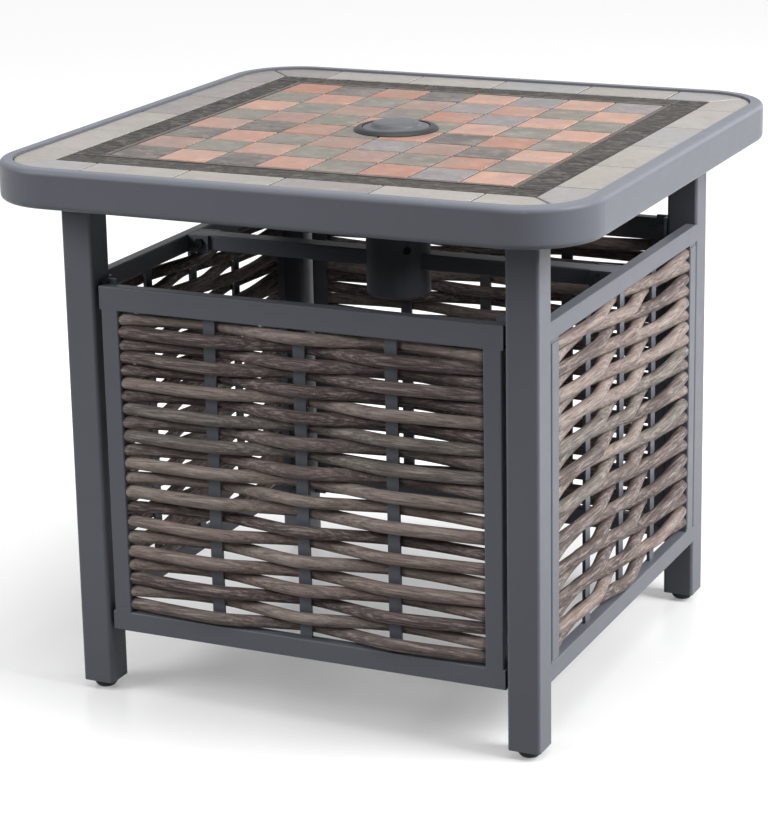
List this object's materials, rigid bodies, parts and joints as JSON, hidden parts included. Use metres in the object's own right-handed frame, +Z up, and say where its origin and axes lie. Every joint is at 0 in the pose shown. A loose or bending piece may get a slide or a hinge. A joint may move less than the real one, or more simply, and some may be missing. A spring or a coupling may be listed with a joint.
{
  "type": "patio side table",
  "caption": "Square patio side table with a tiled top and capped umbrella hole, on a square-tube metal frame with woven cane side panels and levelling feet.",
  "frame": {"origin": "on the floor, under the middle of the tabletop", "axes": "+Z up, -Y towards the front panel, +X towards the right side frame"},
  "size_m": [0.56, 0.56, 0.5063],
  "materials": {
    "frame_coat": "satin grey powder coat",
    "deck_board": "raw board",
    "grout": "matt grout",
    "field_tile": "honed stone-look ceramic",
    "liner_tile": "matt ceramic",
    "slate_tile": "riven slate-look ceramic",
    "border_tile": "satin stone-look ceramic",
    "hole_ring": "gloss moulding",
    "hole_cap": "gloss moulding",
    "plug_plastic": "moulded",
    "foot_plastic": "ribbed moulding",
    "zinc_steel": "zinc plated",
    "cane": "streaked resin cane",
    "black_steel": "black oxide"
  },
  "bodies": {
    "table": {"top_rim": "frame_coat", "top_deck": "deck_board", "tile_grout": "grout", "field_tiles": "field_tile", "liner_strips": "liner_tile", "slate_band": "slate_tile", "border_tiles": "border_tile", "hole_ring": "hole_ring", "front_left_leg": "frame_coat", "front_right_leg": "frame_coat", "back_left_leg": "frame_coat", "back_right_leg": "frame_coat", "leg_plugs": "plug_plastic", "leg_plates": "frame_coat", "top_screws": "zinc_steel", "left_top_rail": "frame_coat", "left_low_rail": "frame_coat", "left_front_stile": "frame_coat", "left_back_stile": "frame_coat", "left_stakes": "frame_coat", "left_canes": "cane", "right_top_rail": "frame_coat", "right_low_rail": "frame_coat", "right_front_stile": "frame_coat", "right_back_stile": "frame_coat", "right_stakes": "frame_coat", "right_canes": "cane", "front_top_rail": "frame_coat", "front_low_rail": "frame_coat", "front_left_stile": "frame_coat", "front_right_stile": "frame_coat", "front_stakes": "frame_coat", "front_canes": "cane", "back_top_rail": "frame_coat", "back_low_rail": "frame_coat", "back_left_stile": "frame_coat", "back_right_stile": "frame_coat", "back_stakes": "frame_coat", "back_canes": "cane", "panel_tabs": "frame_coat", "panel_bolts": "black_steel", "sleeve_tube": "frame_coat", "left_crossbar": "frame_coat", "right_crossbar": "frame_coat", "crossbar_saddles": "frame_coat", "saddle_bolts": "black_steel"},
    "cap": {"hole_cap": "hole_cap"},
    "front_left_foot": {"front_left_pad": "foot_plastic", "front_left_stud": "zinc_steel"},
    "front_right_foot": {"front_right_pad": "foot_plastic", "front_right_stud": "zinc_steel"},
    "back_left_foot": {"back_left_pad": "foot_plastic", "back_left_stud": "zinc_steel"},
    "back_right_foot": {"back_right_pad": "foot_plastic", "back_right_stud": "zinc_steel"}
  },
  "joints": [
    {"name": "cap_lift", "type": "slide", "parent": "table", "child": "cap", "axis": [0, 0, 1], "range_m": [0, 0.03]},
    {"name": "front_left_level", "type": "slide", "parent": "table", "child": "front_left_foot", "axis": [0, 0, 1], "range_m": [-0.012, 0]},
    {"name": "front_right_level", "type": "slide", "parent": "table", "child": "front_right_foot", "axis": [0, 0, 1], "range_m": [-0.012, 0]},
    {"name": "back_left_level", "type": "slide", "parent": "table", "child": "back_left_foot", "axis": [0, 0, 1], "range_m": [-0.012, 0]},
    {"name": "back_right_level", "type": "slide", "parent": "table", "child": "back_right_foot", "axis": [0, 0, 1], "range_m": [-0.012, 0]}
  ]
}
